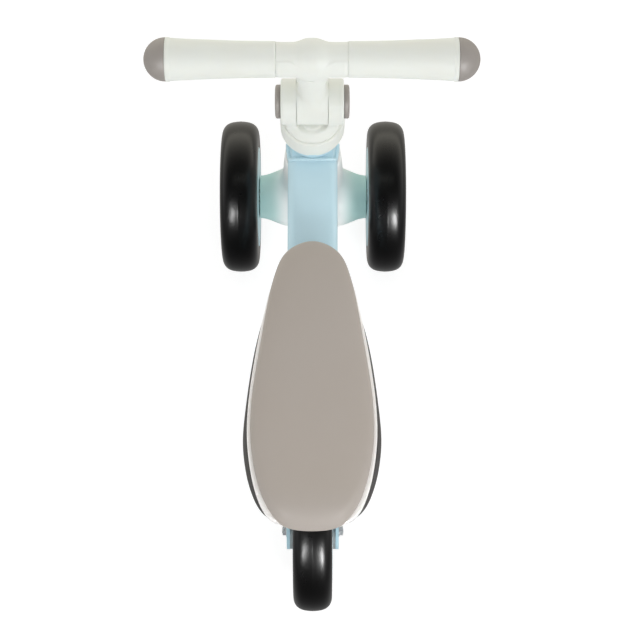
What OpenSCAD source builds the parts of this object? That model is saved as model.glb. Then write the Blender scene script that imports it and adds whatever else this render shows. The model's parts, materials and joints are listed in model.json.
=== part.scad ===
// Toddler balance bike: two front wheels on a steering fork, one rear wheel,
// a handlebar that folds down at a hinge, and a saddle on a clamped post.
// +X forward, +Y left, +Z up. The origin is on the ground, midway between
// the foremost and rearmost points of the wheels. Millimetres.

/* [Wheels] */
// Outer diameter of every wheel
wheel_d = 150; // [146:1:152]
// Width of the foam tyres
tyre_w = 36; // [35:0.5:37]
// Distance between the front and rear axles
wheelbase = 338; // [330:1:345]
// Distance between the mid-planes of the two front wheels
track = 144; // [142:1:148]

/* [Frame] */
// Width of the main tube
tube_w = 46; // [44:1:47]
// Height of the main tube
tube_h = 30; // [28:1:30]
// Downward slope of the main tube towards the rear, degrees
tube_slope = 7.5; // [6.5:0.5:7.5]
// Outer diameter of the head tube
head_d = 47.6; // [47.4:0.1:48.2]
// Thickness of the rear side plates
plate_t = 3; // [2.5:0.5:3]

/* [Steering] */
// Forward position of the steering axis
steer_x = 175; // [173:1:177]
// Height of the fold hinge
hinge_z = 285; // [284:1:287]
// Width over the two fixed hinge ears
ear_w = 56; // [55:1:57]
// Diameter of the hinge release buttons
button_d = 30; // [28:1:31]

/* [Handlebar] */
// Height of the handlebar axis
bar_z = 368; // [366:1:372]
// Overall length of the handlebar over its end caps
bar_len = 284; // [280:1:290]
// Radius of the round end caps
cap_r = 18.5; // [18:0.1:18.5]

/* [Saddle] */
// Height of the saddle above its lowest setting
saddle_lift = 0; // [0:1:12]

/* [Hidden] */

axle_x = wheelbase / 2;
wheel_r = wheel_d / 2;
hub_r = 50;
face = tyre_w / 2 + 0.3;      // half width of the hub over its side discs
brg_in = 5.5;                 // bearing seats, from the wheel's mid-plane
brg_out = 12.5;
steer_r = 14.5;               // steerer tube
head_z0 = 171; head_z1 = 233; // head tube ends
collar_z0 = 235.2; collar_z1 = 253;
ear_gap = 14.1;               // half the slot between the ears
hub_round = 20.5;             // rounding of the ears about the hinge
seat_x = -62;                 // seat tube axis
tube_z = 166.25 + (steer_x + 86) * tan(tube_slope); // main tube centre height at the steering axis
blue = [0.72, 0.84, 0.89]; mint = [0.93, 0.96, 0.92]; aqua = [0.74, 0.88, 0.87];
taupe = [0.66, 0.62, 0.59]; charcoal = [0.25, 0.25, 0.26];

// A rod along Y from y0 to y1 at x, z
module rod_y(r, y0, y1, x, z, fn = 64)
  translate([x, y0, z]) rotate([-90, 0, 0]) cylinder(r = r, h = y1 - y0, $fn = fn);
// A ring along Y
module ring_y(ro, ri, y0, y1, x, z)
  difference() { rod_y(ro, y0, y1, x, z); rod_y(ri, y0 - 1, y1 + 1, x, z); }
// A ring along Z
module ring_z(ro, ri, z0, z1, x)
  translate([x, 0, z0]) difference() {
    cylinder(r = ro, h = z1 - z0, $fn = 72);
    translate([0, 0, -1]) cylinder(r = ri, h = z1 - z0 + 2, $fn = 72);
  }
// A profile in radius and distance along Y, turned about a Y axis at x, y, z
module turned_y(x, y, z) translate([x, y, z]) rotate([-90, 0, 0]) rotate_extrude($fn = 96) children();
// A rounded rectangle centred on the origin
module rounded(w, h, r) {
  square([w - 2 * r, h], center = true);
  square([w, h - 2 * r], center = true);
  for (i = [-1, 1]) for (j = [-1, 1]) translate([i * (w / 2 - r), j * (h / 2 - r)]) circle(r = r, $fn = 48);
}
// A hexagon nut or bolt head along Y
module hex_y(af, y0, y1, x, z)
  translate([x, y0, z]) rotate([-90, 0, 0]) cylinder(d = af / cos(30), h = y1 - y0, $fn = 6);
function arc(cx, cy, r, a0, a1, n) =
  [for (i = [0:n]) [cx + r * cos(a0 + (a1 - a0) * i / n), cy + r * sin(a0 + (a1 - a0) * i / n)]];

// ---------- frame ----------
// The straight main tube's own axis: u along it from the steering axis, rearward
module along_tube() translate([steer_x, 0, tube_z]) rotate([0, -90 - tube_slope, 0]) children();
tube_len = (steer_x - (-86)) / cos(tube_slope);

module rear_plate(y0) {
  // flat side plate from the main tube down to the rounded dropout
  translate([0, y0 + plate_t, 0]) rotate([90, 0, 0]) linear_extrude(height = plate_t) {
    difference() {
      union() {
        polygon([[-axle_x - 12, 87.8], [-98, 173], [-84, 179.5], [-30, 182], [-22, 166], [-44, 155],
                 [-62, 146], [-axle_x + 12, 62.2]]);
        translate([-axle_x, wheel_r]) circle(r = 17.5, $fn = 64);
      }
      translate([-axle_x, wheel_r]) circle(r = 2.6, $fn = 32);
    }
  }
}

module main_frame() color(blue) {
  difference() {
    union() {
      translate([steer_x, 0, head_z0]) cylinder(d = head_d, h = head_z1 - head_z0, $fn = 96);
      along_tube() linear_extrude(height = tube_len) rounded(tube_h, tube_w, 9);
      translate([seat_x, 0, 147]) cylinder(r = 17, h = 52, $fn = 72);
      rear_plate(out - plate_t);
      rear_plate(-out);
      // doubler on the tube's top, welded straight across behind the head tube
      along_tube() translate([tube_h / 2 - 2.5, -19, 10]) cube([3.6, 38, 12.4]);
    }
    translate([steer_x, 0, head_z0 - 1]) cylinder(r = 20, h = head_z1 - head_z0 + 2, $fn = 96);
    // hollow of the main tube, kept clear of the seat tube's wall
    difference() {
      along_tube() translate([0, 0, 21]) linear_extrude(height = tube_len) rounded(tube_h - 4, tube_w - 4, 7);
      translate([seat_x, 0, 100]) cylinder(r = 17, h = 120, $fn = 72);
    }
    translate([seat_x, 0, 140]) cylinder(r = 14.4, h = 70, $fn = 72);
    // clamp slit at the back of the seat tube's mouth
    translate([seat_x - 20, -1.2, 186]) cube([12, 2.4, 20]);
  }
}

module flanged_bush(z0, z1, f0, f1) difference() {
  union() {
    translate([steer_x, 0, z0]) cylinder(r = 19.98, h = z1 - z0, $fn = 96);
    translate([steer_x, 0, f0]) cylinder(r = 23.2, h = f1 - f0, $fn = 96);
  }
  translate([steer_x, 0, 100]) cylinder(r = steer_r + 0.05, h = 200, $fn = 96);
}
module headset_bush_upper() color([0.3, 0.3, 0.3]) flanged_bush(213, head_z1 + 0.02, head_z1 + 0.02, 235);
module headset_bush_lower() color([0.3, 0.3, 0.3]) flanged_bush(head_z0 - 0.02, 191, 169, head_z0 - 0.02);

module tube_end_plug() color([0.3, 0.3, 0.3]) along_tube() {
  translate([0, 0, tube_len - 4.5]) linear_extrude(height = 4.55) rounded(tube_h - 4.1, tube_w - 4.1, 6.9);
  translate([0, 0, tube_len + 0.05]) linear_extrude(height = 2) rounded(tube_h - 1, tube_w - 7, 8);
}

module seat_clamp_collar() color([0.55, 0.55, 0.56]) difference() {
  union() {
    translate([seat_x, 0, 188]) cylinder(r = 20.5, h = 10, $fn = 72);
    translate([seat_x - 31, -8, 188]) cube([14, 16, 9.5]);
  }
  translate([seat_x, 0, 180]) cylinder(r = 17.03, h = 30, $fn = 72);
  translate([seat_x - 40, -1.5, 180]) cube([28, 3, 30]);
  rod_y(2.6, -20, 20, seat_x - 26, 192.5, 32);
}
module seat_clamp_bolt() color("silver") {
  rod_y(2.5, -12, 10, seat_x - 26, 192.5, 32);
  difference() {
    rod_y(4.3, 8.03, 12.5, seat_x - 26, 192.5, 48);
    hex_y(4, 10.2, 13, seat_x - 26, 192.5);
  }
  difference() {
    hex_y(8, -12.5, -8.03, seat_x - 26, 192.5);
    rod_y(2.45, -13, -12, seat_x - 26, 192.5, 32);
  }
}

// ---------- rear axle ----------
out = tube_w / 2 + 1.3;          // outer face of the side plates
module rear_axle() color("silver") {
  rod_y(4, -out + plate_t + 0.05, out - plate_t - 0.05, -axle_x, wheel_r);
  rod_y(2.5, -out - 4.5, out + 4.5, -axle_x, wheel_r, 32);
}
module rear_axle_washers() color("silver") for (s = [-1, 1])
  translate([0, s * (out + 0.4), 0]) ring_y(6, 2.55, -0.35, 0.35, -axle_x, wheel_r);
module rear_axle_nuts() color("silver") for (s = [-1, 1])
  translate([0, s * (out + 2.4), 0]) difference() {
    hex_y(8, -1.6, 1.6, -axle_x, wheel_r);
    rod_y(2.52, -3, 3, -axle_x, wheel_r, 32);
  }
module rear_axle_spacers() color([0.6, 0.62, 0.63]) for (s = [0, 1]) mirror([0, s, 0])
  difference() {
    union() {
      rod_y(17.3, face + 0.6, out - plate_t - 0.05, -axle_x, wheel_r);
      rod_y(6.5, brg_out + 0.08, face + 0.7, -axle_x, wheel_r);
    }
    rod_y(4.03, 0, 40, -axle_x, wheel_r);
  }

// ---------- steering ----------
module steering_fork() color([0.62, 0.64, 0.66]) difference() {
  union() {
    translate([steer_x, 0, wheel_r]) cylinder(r = steer_r, h = 251.5 - wheel_r, $fn = 96);
    translate([steer_x, 0, 160]) cylinder(r = 21, h = 8.8, $fn = 72);
    rod_y(11, -51, 51, axle_x, wheel_r);
  }
  translate([steer_x, 0, wheel_r + 15]) cylinder(r = 12.3, h = 200, $fn = 72);
  rod_y(4.04, -60, 60, axle_x, wheel_r);
}

arm_end = 53;                 // half width over the cover's two arms
// Arm profile of the axle cover: radius against distance from the centre line
function arm_pts(d) = [[29.5 - d, 26], [28 - d, 30.5], [25.3 - d, 38], [23.2 - d, 44], [21.9 - d, 49.5], [21.4 - d, 55]];
module arm_body(d, e) turned_y(axle_x, 0, wheel_r)
  polygon(concat([[0, -arm_end + e]],
    [for (i = [5:-1:0]) [arm_pts(d)[i][0], -min(arm_pts(d)[i][1], arm_end - e)]],
    [for (i = [0:5]) [arm_pts(d)[i][0], min(arm_pts(d)[i][1], arm_end - e)]],
    [[0, arm_end - e]]));
// Column of the axle cover, tapering towards the head tube
module column(d, top) translate([steer_x, 0, 0]) rotate_extrude($fn = 96)
  polygon([[0, wheel_r], [29.5 - d, wheel_r], [29.5 - d, 112], [29 - d, 130], [27.9 - d, 150], [26.6 - d, top], [0, top]]);
module cover_body() difference() {
  union() {
    arm_body(0, 0);
    column(0, 167);
  }
  arm_body(2.5, 2.5);
  column(2.7, 164.5);
  translate([steer_x, 0, 100]) cylinder(r = 21.5, h = 100, $fn = 96);
  rod_y(11.06, -60, 60, axle_x, wheel_r);
}
split_z = 62;
screw_at = [[axle_x, 40], [axle_x, -40]];
module axle_cover_upper() color(aqua) difference() {
  union() {
    intersection() { cover_body(); translate([60, -70, split_z + 0.05]) cube([220, 140, 200]); }
    for (p = screw_at) translate([p[0] + 16, p[1], split_z + 0.05]) cylinder(r = 4, h = 14, $fn = 32);
    for (p = screw_at) translate([p[0] - 16, p[1], split_z + 0.05]) cylinder(r = 4, h = 14, $fn = 32);
  }
  for (p = screw_at) for (s = [-16, 16]) translate([p[0] + s, p[1], split_z - 1]) cylinder(r = 1.5, h = 11, $fn = 24);
}
module axle_cover_lower() color(aqua) difference() {
  union() {
    intersection() { cover_body(); translate([60, -70, 0]) cube([220, 140, split_z - 0.05]); }
    intersection() {
      arm_body(0, 0);
      for (p = screw_at) for (s = [-16, 16]) translate([p[0] + s, p[1], 40]) cylinder(r = 4, h = split_z - 0.05 - 40, $fn = 32);
    }
  }
  for (p = screw_at) for (s = [-16, 16]) {
    translate([p[0] + s, p[1], 40]) cylinder(r = 1.6, h = 40, $fn = 24);
    translate([p[0] + s, p[1], 40]) cylinder(r = 3.1, h = 18.5, $fn = 32);
  }
}
module axle_cover_screws() color("silver") for (p = screw_at) for (s = [-16, 16]) {
  translate([p[0] + s, p[1], 58.4]) cylinder(r = 1.45, h = 12.1, $fn = 24);
  translate([p[0] + s, p[1], 56.5]) cylinder(r = 2.9, h = 1.95, $fn = 32);
}

wy = track / 2;
module front_axle() color("silver") rod_y(4, -wy - 18.3, wy + 18.3, axle_x, wheel_r);
module front_axle_spacers() color("silver") for (s = [0, 1]) mirror([0, s, 0])
  ring_y(7.5, 4.03, 51.05, wy - brg_out - 0.08, axle_x, wheel_r);
module front_axle_washers() color("silver") for (s = [0, 1]) mirror([0, s, 0])
  ring_y(7.8, 4.03, wy + brg_out + 0.08, wy + brg_out + 1.2, axle_x, wheel_r);
module front_axle_nuts() color("silver") for (s = [0, 1]) mirror([0, s, 0])
  difference() {
    hex_y(13, wy + brg_out + 1.25, wy + brg_out + 5.2, axle_x, wheel_r);
    rod_y(4.03, wy, wy + 30, axle_x, wheel_r);
  }

module headset_collar() color(mint) difference() {
  translate([steer_x, 0, 0]) rotate_extrude($fn = 120) polygon([
    [24.5, 231.6], [28.7, 231.6], [29.2, 232.2], [29.3, 234],
    [29.3, collar_z1 - 4], [28.9, collar_z1 - 1.8], [27.8, collar_z1 - 0.4], [26.6, collar_z1], [20.05, collar_z1],
    [20.05, collar_z0], [24.5, collar_z0]]);
  translate([steer_x - 32, -3.5, 230]) cube([8, 7, 3.1]);
}

module ear_round(r, y0, y1) rod_y(r, y0, y1, steer_x, hinge_z, 96);
module stem_base() color(mint) difference() {
  union() {
    translate([steer_x, 0, 0]) rotate_extrude($fn = 120) polygon([
      [0, 236.5], [20, 236.5], [20, collar_z1 + 0.05], [26.5, collar_z1 + 0.05], [26.5, 257],
      [26, 260.5], [24.8, 263.5], [23.5, 265], [0, 265]]);
    // two ears, rounded about the hinge, with chamfered outer rims
    for (s = [0, 1]) mirror([0, s, 0]) {
      turned_y(steer_x, 0, hinge_z) polygon([[0, ear_gap], [hub_round, ear_gap], [hub_round, ear_w / 2 - 3],
        [hub_round - 0.7, ear_w / 2 - 1.2], [hub_round - 2.2, ear_w / 2], [0, ear_w / 2]]);
      translate([steer_x - 16, ear_gap, 258]) cube([32, 9.5, 20]);
    }
    // stop boss behind the tongue
    translate([steer_x - 10, 0, 260]) cylinder(r = 9, h = 7.5, $fn = 64);
  }
  translate([steer_x, 0, 230]) cylinder(r = steer_r + 0.03, h = 22, $fn = 96);
  // room for the tongue
  ear_round(hub_round + 0.4, -ear_gap, ear_gap);
  // pin and button seats
  ear_round(4.02, -40, 40);
  for (s = [0, 1]) mirror([0, s, 0]) {
    ear_round(9.1, 20.2, 40);
    ear_round(button_d / 2 + 0.4, 24.9, 40);
  }
  // seat of the centre bolt
  translate([steer_x, 0, 240]) cylinder(r = 3.1, h = 40, $fn = 32);
  translate([steer_x, 0, 257.4]) cylinder(r = 5.3, h = 20, $fn = 48);
}
module stem_bolt() color("silver") difference() {
  union() {
    translate([steer_x, 0, 222]) cylinder(r = 3, h = 36, $fn = 32);
    translate([steer_x, 0, 257.45]) cylinder(r = 5, h = 5.6, $fn = 48);
  }
  translate([steer_x, 0, 260]) cylinder(d = 5 / cos(30), h = 4, $fn = 6);
}
module steerer_plug() color([0.3, 0.3, 0.3]) ring_z(12.28, 3.02, 220, 244, steer_x);

module hinge_pin() color("silver") ear_round(4, -24.5, 24.5);

// Release button: a domed disc resting close on the ear's side, over a recess it
// sinks into, on a stem that slides in the ear, with a socket over the hinge pin's end
module hinge_button(s) color(taupe) mirror([0, s > 0 ? 0 : 1, 0]) turned_y(steer_x, 0, hinge_z)
  polygon([[4.3, 23.5], [9.04, 23.5], [9.04, 28.1], [button_d / 2 - 0.6, 28.1], [button_d / 2, 28.7], [button_d / 2, 30.6],
           [button_d / 2 - 0.4, 31.9], [button_d / 2 - 1.4, 32.7], [11, 33.1], [0, 33.2], [0, 28.6], [4.3, 28.6]]);
module hinge_button_left() hinge_button(1);
module hinge_button_right() hinge_button(-1);

// ---------- handlebar ----------
module stem_tongue() color(mint) difference() {
  union() {
    ear_round(hub_round - 0.2, -ear_gap + 0.3, ear_gap - 0.3);
    translate([steer_x, 0, hinge_z]) cylinder(r = 12.2, h = 63, $fn = 72);
  }
  ear_round(4.06, -30, 30);
  translate([steer_x, 0, 325]) cylinder(r = 2.6, h = 40, $fn = 32);
}
module handlebar_tee() color(mint) difference() {
  union() {
    turned_y(steer_x, 0, bar_z) polygon([[0, -30.5], [14.2, -30.5], [14.7, -30], [14.7, -23], [15.6, -19.5],
      [17, -15], [17.8, -10], [18.1, -5], [18.1, 5], [17.8, 10], [17, 15], [15.6, 19.5], [14.7, 23],
      [14.7, 30], [14.2, 30.5], [0, 30.5]]);
    translate([steer_x, 0, 338]) cylinder(r = 14.3, h = 30, $fn = 96);
  }
  rod_y(11.13, -40, 40, steer_x, bar_z, 96);
  translate([steer_x, 0, 330]) cylinder(r = 12.22, h = 18.1, $fn = 72);
  translate([steer_x, 0, 340]) cylinder(r = 2.7, h = 20, $fn = 32);
}
module tee_screw() color("silver") {
  translate([steer_x, 0, 332]) cylinder(r = 2.5, h = 27.4, $fn = 32);
}
module handlebar_tube() color("silver") difference() {
  rod_y(11.1, -bar_len / 2 + cap_r + 0.2, bar_len / 2 - cap_r - 0.2, steer_x, bar_z, 96);
  rod_y(9.6, -200, 200, steer_x, bar_z, 96);
  translate([steer_x, 0, bar_z - 20]) cylinder(r = 2.6, h = 20, $fn = 32);
}
grip_end = bar_len / 2 - cap_r;
module grip() color(mint) turned_y(steer_x, 0, bar_z) polygon([
  [11.12, 30.8], [14.9, 30.8], [15.4, 31.3], [15.45, 40], [15.6, 54], [15.9, 68], [16.5, 84], [17.1, 101],
  [17.8, 114], [18.3, 119], [18.8, grip_end - 1.5], [18.8, grip_end - 0.7], [18.3, grip_end - 0.1], [11.12, grip_end - 0.1]]);
module grip_left() grip();
module grip_right() mirror([0, 1, 0]) grip();
module grip_cap() color(taupe) turned_y(steer_x, 0, bar_z) {
  translate([0, grip_end]) difference() {
    circle(r = cap_r, $fn = 96);
    translate([-40, -40]) square([80, 40]);
    translate([-80, -1]) square([80, 80]);
  }
  translate([0, grip_end - 14]) square([9.55, 15]);
}
module grip_cap_left() grip_cap();
module grip_cap_right() mirror([0, 1, 0]) grip_cap();

// ---------- wheels, about a Y axis through the origin ----------
sr = 11; cr = 45;               // shoulder and crown radii of the tyre
module tyre_shape() {
  ys = tyre_w / 2 - sr;
  xs = wheel_r - cr + sqrt((cr - sr) * (cr - sr) - ys * ys);
  ta = asin(ys / (cr - sr));
  crown = arc(wheel_r - cr, 0, cr, -ta, ta, 6);
  up = arc(xs, ys, sr, ta, 90, 7);
  dn = arc(xs, -ys, sr, -90, -ta, 7);
  rotate([-90, 0, 0]) rotate_extrude($fn = 120) polygon(concat(
    [[hub_r, -tyre_w / 2 + 0.8], [51, -tyre_w / 2 + 0.1], [53.5, -tyre_w / 2]], dn, [for (i = [1:5]) crown[i]], up,
    [[53.5, tyre_w / 2], [51, tyre_w / 2 - 0.1], [hub_r, tyre_w / 2 - 0.8]]));
}
// Hub: rim, two side discs and a centre boss with bearing seats.
// holes_a and holes_b open the disc on the +Y and -Y side
module hub_shape(holes_a, holes_b, cap_side) difference() {
  rotate([-90, 0, 0]) rotate_extrude($fn = 120) polygon([[6, -brg_out - 0.3], [17, -brg_out - 0.3], [18.5, -face],
    [hub_r - 1, -face], [hub_r - 0.05, -face + 1.1], [hub_r - 0.05, face - 1.1], [hub_r - 1, face], [18.5, face],
    [17, brg_out + 0.3], [6, brg_out + 0.3]]);
  rotate([-90, 0, 0]) rotate_extrude($fn = 96) polygon([[19.5, -face + 2.6], [46.5, -face + 2.6], [46.5, face - 2.6], [19.5, face - 2.6]]);
  rod_y(11, -30, -brg_in, 0, 0); rod_y(11, brg_in, 30, 0, 0);
  for (a = [0:60:300]) rotate([0, a, 0]) {
    if (holes_a) rod_y(7, face - 4, 30, 32, 0, 48);
    if (holes_b) rod_y(7, -30, -face + 4, 32, 0, 48);
  }
}
module bearing_pair() for (s = [0, 1]) mirror([0, s, 0])
  difference() { rod_y(10.98, brg_in + 0.02, brg_out, 0, 0); rod_y(4.06, 0, 30, 0, 0); }
module cap_shape() rotate([-90, 0, 0]) rotate_extrude($fn = 96) polygon([
  [9.5, 12.95], [16.4, 12.95], [17.7, 18], [17.6, 18.9], [16.4, 19.6], [13, 20.1], [8, 20.3], [0, 20.4],
  [0, 19], [9, 18.9], [9.5, 18.4]]);

module front_left_tyre() color([0.12, 0.12, 0.12]) translate([axle_x, wy, wheel_r]) tyre_shape();
module front_left_hub() color(blue) translate([axle_x, wy, wheel_r]) hub_shape(true, false);
module front_left_bearings() color("silver") translate([axle_x, wy, wheel_r]) bearing_pair();
module front_left_hub_cap() color(mint) translate([axle_x, wy, wheel_r]) cap_shape();
module front_right_tyre() color([0.12, 0.12, 0.12]) translate([axle_x, -wy, wheel_r]) tyre_shape();
module front_right_hub() color(blue) translate([axle_x, -wy, wheel_r]) hub_shape(false, true);
module front_right_bearings() color("silver") translate([axle_x, -wy, wheel_r]) bearing_pair();
module front_right_hub_cap() color(mint) translate([axle_x, -wy, wheel_r]) mirror([0, 1, 0]) cap_shape();
module rear_tyre() color([0.12, 0.12, 0.12]) translate([-axle_x, 0, wheel_r]) tyre_shape();
module rear_hub() color(blue) translate([-axle_x, 0, wheel_r]) hub_shape(true, true);
module rear_bearings() color("silver") translate([-axle_x, 0, wheel_r]) bearing_pair();

// ---------- saddle ----------
// Left half of the plan outline, nose to tail
rim_pts = [[58.6, 0], [57, 9.4], [50.4, 20.8], [40.6, 28], [26.6, 33.9], [12, 38.3], [-6, 42.2], [-25, 46.1], [-50, 50.5],
  [-85, 55], [-118, 56.3], [-145, 53.7], [-165, 49.6], [-180, 44.4], [-190, 39], [-196.3, 31.2], [-198.8, 16], [-199.2, 0]];
pad_pts = [[61.4, 0], [59.4, 9.6], [52.2, 21.4], [42.2, 28.5], [27, 33.5], [12, 37.2], [-6, 40.4], [-25, 43.4], [-50, 47.4],
  [-85, 52.2], [-118, 53.3], [-145, 50.4], [-165, 45.6], [-180, 39.9], [-191.5, 32.8], [-200.2, 25.2], [-203.6, 13], [-204.3, 0]];
shell_pts = [[50, 0], [47, 9.5], [40, 18.5], [30, 26.5], [17, 33.5], [3, 39.3], [-12, 44.6], [-29, 48.9], [-52, 53.2],
  [-86, 57.6], [-120, 60.2], [-148, 57.3], [-167, 52.2], [-180, 46.5], [-188, 40], [-192.3, 32], [-193.8, 16], [-194.3, 0]];
// Height of the rim's top edge along the saddle
function edge_z(x) = saddle_lift + 239 + 8 * pow(max(0, (-60 - x) / 140), 1.5) - 6.5 * pow(max(0, (x + 20) / 78), 2);
function wrap(p) = concat(p, [for (i = [len(p) - 2:-1:1]) [p[i][0], -p[i][1]]]);
function cr1(a, b, c, d, t) = 0.5 * (2 * b + (c - a) * t + (2 * a - 5 * b + 4 * c - d) * t * t + (3 * b - a - 3 * c + d) * t * t * t);
// The outline as a closed smooth loop, k points per span
function loop(p, k) = let (w = wrap(p), n = len(w))
  [for (i = [0:n - 1]) for (j = [0:k - 1]) cr1(w[(i + n - 1) % n], w[i], w[(i + 1) % n], w[(i + 2) % n], j / k)];
mid_x = -76;
// One ring: the loop scaled about the saddle's middle
function sring(l, f, h) = [for (p = l) let (x = mid_x + (p[0] - mid_x) * f) [x, p[1] * f, edge_z(x) + h]];
// The pad's rings rise into a crest across its back
function crest(x) = 6.5 * exp(-pow((x + 184) / 22, 2));
function pring(f, h) = [for (p = pl) let (x = mid_x + (p[0] - mid_x) * f)
  [x, p[1] * f, edge_z(x) + h + crest(x) * max(0, min(1, (h - 5) / 8))]];
// A closed skin over a stack of rings, first and last ring capped
module skin(rings) {
  n = len(rings[0]); m = len(rings);
  polyhedron(points = [for (r = rings) for (p = r) p],
    faces = concat([[for (i = [n - 1:-1:0]) i]], [[for (i = [0:n - 1]) (m - 1) * n + i]],
      [for (k = [0:m - 2]) for (i = [0:n - 1]) let (j = (i + 1) % n) each
        [[k * n + i, k * n + j, (k + 1) * n + j], [k * n + i, (k + 1) * n + j, (k + 1) * n + i]]]));
}
// A closed band whose section is the list of rings
module band(rings) {
  n = len(rings[0]); m = len(rings);
  polyhedron(points = [for (r = rings) for (p = r) p],
    faces = [for (k = [0:m - 1]) let (k2 = (k + 1) % m) for (i = [0:n - 1]) let (j = (i + 1) % n) each
        [[k * n + i, k * n + j, k2 * n + j], [k * n + i, k2 * n + j, k2 * n + i]]]);
}
rl = loop(rim_pts, 2);
pl = loop(pad_pts, 2);
sl = loop(shell_pts, 2);
module saddle_pad() color(taupe) skin([sring(rl, 0.915, -3), sring(rl, 0.923, 0.4), pring(0.985, 1.3), pring(1, 4),
  pring(0.985, 8), pring(0.94, 11.5), pring(0.9, 13.2), pring(0.84, 14.5), pring(0.76, 15.7), pring(0.66, 16.6),
  pring(0.4, 17.7), pring(0.1, 18)]);
module saddle_rim() color([0.95, 0.95, 0.94]) band([sring(rl, 0.99, -7.5), sring(rl, 1, -6), sring(rl, 1, -1.5), sring(rl, 0.99, 0),
  sring(rl, 0.935, 0), sring(rl, 0.93, -3.4), sring(rl, 0.87, -3.4), sring(rl, 0.87, -7.5)]);
module saddle_shell() color(charcoal) difference() {
  skin([sring(sl, 0.55, -33), sring(sl, 0.74, -31), sring(sl, 0.88, -27), sring(sl, 0.97, -20.5), sring(sl, 1, -14),
    sring(sl, 0.985, -10.5), sring(sl, 0.955, -7.8), sring(sl, 0.90, -7.8), sring(sl, 0.92, -14), sring(sl, 0.90, -20),
    sring(sl, 0.80, -25), sring(sl, 0.5, -28)]);
  translate([seat_x - 60, -40, saddle_lift + 190]) cube([120, 80, 17.2]);
  for (i = [-1, 1]) for (j = [-1, 1]) translate([seat_x + i * 22, j * 13, 200 + saddle_lift]) cylinder(r = 2.05, h = 30, $fn = 24);
}
module seat_post() color("silver") translate([0, 0, saddle_lift]) difference() {
  union() {
    translate([seat_x, 0, 150]) cylinder(r = 14.34, h = 56, $fn = 72);
    translate([seat_x, 0, 204.6]) linear_extrude(height = 2.5) rounded(60, 40, 8);
  }
  translate([seat_x, 0, 140]) cylinder(r = 12.3, h = 62, $fn = 72);
  for (i = [-1, 1]) for (j = [-1, 1]) translate([seat_x + i * 22, j * 13, 195]) cylinder(r = 2.05, h = 30, $fn = 24);
}
module saddle_screws() color("silver") for (i = [-1, 1]) for (j = [-1, 1]) translate([seat_x + i * 22, j * 13, saddle_lift]) {
  translate([0, 0, 202.3]) cylinder(r = 3.8, h = 2.25, $fn = 32);
  translate([0, 0, 204]) cylinder(r = 2, h = 9, $fn = 24);
}

main_frame();
headset_bush_upper();
headset_bush_lower();
tube_end_plug();
seat_clamp_collar();
seat_clamp_bolt();
rear_axle();
rear_axle_nuts();
rear_axle_washers();
rear_axle_spacers();
steering_fork();
axle_cover_upper();
axle_cover_lower();
axle_cover_screws();
front_axle();
front_axle_spacers();
front_axle_washers();
front_axle_nuts();
headset_collar();
stem_base();
stem_bolt();
steerer_plug();
hinge_pin();
hinge_button_left();
hinge_button_right();
stem_tongue();
handlebar_tee();
tee_screw();
handlebar_tube();
grip_left();
grip_right();
grip_cap_left();
grip_cap_right();
front_left_tyre();
front_left_hub();
front_left_bearings();
front_left_hub_cap();
front_right_tyre();
front_right_hub();
front_right_bearings();
front_right_hub_cap();
rear_tyre();
rear_hub();
rear_bearings();
saddle_pad();
saddle_rim();
saddle_shell();
seat_post();
saddle_screws();
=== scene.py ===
"""Looks of the toddler balance bike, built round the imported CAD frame.
All lengths in this script's tables are millimetres in the row frame."""

import json
import math

import bmesh
import bpy
import numpy as np
from mathutils import Matrix, Vector


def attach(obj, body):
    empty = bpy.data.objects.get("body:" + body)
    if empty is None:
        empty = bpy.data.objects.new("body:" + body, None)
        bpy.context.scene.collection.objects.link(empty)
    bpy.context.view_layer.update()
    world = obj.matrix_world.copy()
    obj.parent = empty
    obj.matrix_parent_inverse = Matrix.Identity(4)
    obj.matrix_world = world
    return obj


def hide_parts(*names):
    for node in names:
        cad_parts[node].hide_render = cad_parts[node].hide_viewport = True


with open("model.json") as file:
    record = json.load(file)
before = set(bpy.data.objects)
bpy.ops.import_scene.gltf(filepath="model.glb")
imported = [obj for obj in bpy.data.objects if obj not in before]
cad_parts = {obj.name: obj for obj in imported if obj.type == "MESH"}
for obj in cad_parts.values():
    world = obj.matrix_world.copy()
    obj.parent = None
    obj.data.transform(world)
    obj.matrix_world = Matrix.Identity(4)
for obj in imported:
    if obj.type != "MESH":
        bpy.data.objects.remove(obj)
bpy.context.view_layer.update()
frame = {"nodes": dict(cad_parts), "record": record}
nodes = frame["nodes"]
COARSE = 1.0

STEER_X, AXLE_X, WHEEL_R, WHEEL_Y = 175.0, 169.0, 75.0, 72.0
HINGE_Z, BAR_Z, SEAT_X = 285.0, 368.0, -62.0


# ------------------------------------------------------------------ colours
def lin(r, g, b):
    out = []
    for c in (r, g, b):
        c /= 255.0
        out.append(c / 12.92 if c <= 0.04045 else ((c + 0.055) / 1.055) ** 2.4)
    return (*out, 1.0)


def shade(col, k, warm=0.0):
    return (
        min(1, col[0] * k * (1 + warm)),
        min(1, col[1] * k),
        min(1, col[2] * k * (1 - warm)),
        1.0,
    )


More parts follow.
